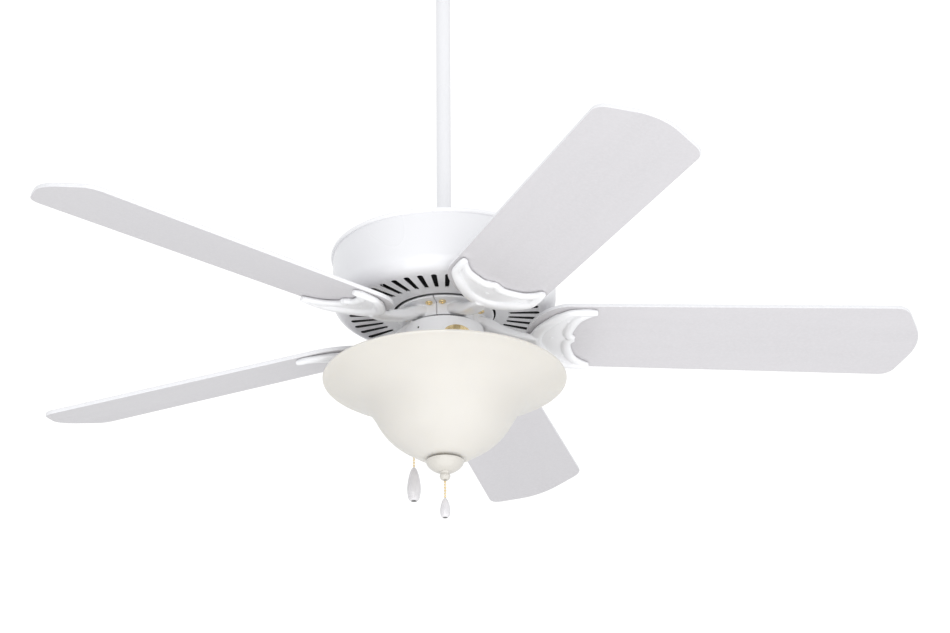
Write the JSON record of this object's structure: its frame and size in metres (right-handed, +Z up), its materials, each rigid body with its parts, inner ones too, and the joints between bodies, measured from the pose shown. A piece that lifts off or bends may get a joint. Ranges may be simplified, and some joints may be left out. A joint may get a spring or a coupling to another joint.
{
  "type": "ceiling fan with light",
  "caption": "Ceiling fan on a downrod, with pitched blades on scrolled irons, a vented motor housing, a frosted glass bowl light and two pull chains.",
  "frame": {"origin": "middle of the hanger bracket's top face, where it meets the ceiling box", "axes": "+Z up, along the hanging axis; the fan hangs towards -Z; +X along the row of the two ceiling-box screws; blade 1 points 5 degrees from +X towards +Y"},
  "size_m": [1.224, 1.2448, 0.8896],
  "materials": {
    "white_enamel": "gloss white enamel on steel",
    "iron_enamel": "gloss white enamel on cast iron",
    "blade_white": "white lacquer over wood-core blade",
    "frosted_glass": "opal frosted glass",
    "bulb_glass": "white lamp glass",
    "brass": "polished brass",
    "ceramic": "glazed ceramic",
    "zinc_steel": "zinc-plated steel",
    "lamination": "stacked electrical steel",
    "cast_aluminium": "die-cast",
    "copper_wire": "enamelled copper wire",
    "black_steel": "black oxide",
    "nylon": "moulded nylon",
    "black_plastic": "moulded phenolic",
    "porcelain": "glazed porcelain",
    "felt": "soft white gasket"
  },
  "bodies": {
    "ceiling_mount": {"hanger_bracket": "zinc_steel", "canopy": "white_enamel", "canopy_screws": "white_enamel"},
    "fan_body": {"hanger_ball": "nylon", "ball_pin": "zinc_steel", "downrod": "white_enamel", "coupling": "white_enamel", "coupling_pin": "zinc_steel", "cotter_pin": "zinc_steel", "set_screws": "black_steel", "motor_shaft": "zinc_steel", "stator_core": "lamination", "stator_windings": "copper_wire", "housing_body": "white_enamel", "housing_top": "white_enamel", "housing_screws": "white_enamel", "switch_plate": "zinc_steel", "shaft_nut": "zinc_steel", "switch_housing": "white_enamel", "switch_housing_screws": "black_steel", "badge": "brass", "capacitor": "black_plastic", "speed_switch": "black_plastic", "reverse_switch": "black_plastic", "chain_guide": "white_enamel", "light_fitter": "white_enamel", "lamp_sockets": "porcelain", "bulbs": "bulb_glass", "light_switch": "black_plastic", "stem": "zinc_steel", "glass_bowl": "frosted_glass", "bowl_gasket": "felt", "finial_cap": "white_enamel", "finial": "white_enamel"},
    "rotor": {"rotor_core": "lamination", "rotor_shell_top": "cast_aluminium", "rotor_shell_bottom": "cast_aluminium", "upper_bearing": "zinc_steel", "lower_bearing": "zinc_steel", "flywheel": "cast_aluminium", "rotor_screws": "black_steel", "iron_screws": "brass", "blade_screws": "white_enamel", "blade_1": "blade_white", "blade_2": "blade_white", "blade_3": "blade_white", "blade_4": "blade_white", "blade_5": "blade_white", "blade_iron_1": "iron_enamel", "blade_iron_2": "iron_enamel", "blade_iron_3": "iron_enamel", "blade_iron_4": "iron_enamel", "blade_iron_5": "iron_enamel"},
    "reverse_knob": {"reverse_slider": "black_plastic"},
    "fan_switch_chain": {"fan_chain_inner": "brass"},
    "fan_pull_chain": {"fan_chain": "brass"},
    "fan_pull_fob": {"fan_fob": "ceramic"},
    "light_switch_chain": {"light_chain_inner": "brass"},
    "light_pull_chain": {"light_chain": "brass"},
    "light_pull_fob": {"light_fob": "ceramic"}
  },
  "joints": [
    {"name": "hanger_tilt", "type": "hinge", "parent": "ceiling_mount", "child": "fan_body", "pos_m": [0, 0, -0.048], "axis": [1, 0, 0], "range_deg": [-20, 20]},
    {"name": "rotor_spin", "type": "hinge", "parent": "fan_body", "child": "rotor", "pos_m": [0, 0, -0.553], "axis": [0, 0, 1], "continuous": true},
    {"name": "reverse_slide", "type": "slide", "parent": "fan_body", "child": "reverse_knob", "axis": [0, 0, 1], "range_m": [0, 0.004]},
    {"name": "fan_pull", "type": "slide", "parent": "fan_body", "child": "fan_switch_chain", "axis": [0, 0, -1], "range_m": [0, 0.012], "stiffness_N_per_m": 400, "springref_m": -0.004},
    {"name": "fan_chain_swing", "type": "hinge", "parent": "fan_switch_chain", "child": "fan_pull_chain", "pos_m": [-0.04312, 0.16795, -0.6896], "axis": [0, 1, 0], "range_deg": [-25, 25]},
    {"name": "fan_fob_swing", "type": "hinge", "parent": "fan_pull_chain", "child": "fan_pull_fob", "pos_m": [-0.04312, 0.16795, -0.7524], "axis": [1, 0, 0], "range_deg": [-25, 25]},
    {"name": "light_pull", "type": "slide", "parent": "fan_body", "child": "light_switch_chain", "axis": [0, 0, -1], "range_m": [0, 0.01], "stiffness_N_per_m": 400, "springref_m": -0.004},
    {"name": "light_chain_swing", "type": "hinge", "parent": "light_switch_chain", "child": "light_pull_chain", "pos_m": [0, 0, -0.8355], "axis": [0, 1, 0], "range_deg": [-30, 30]},
    {"name": "light_fob_swing", "type": "hinge", "parent": "light_pull_chain", "child": "light_pull_fob", "pos_m": [0, 0, -0.8616], "axis": [1, 0, 0], "range_deg": [-30, 30]}
  ]
}
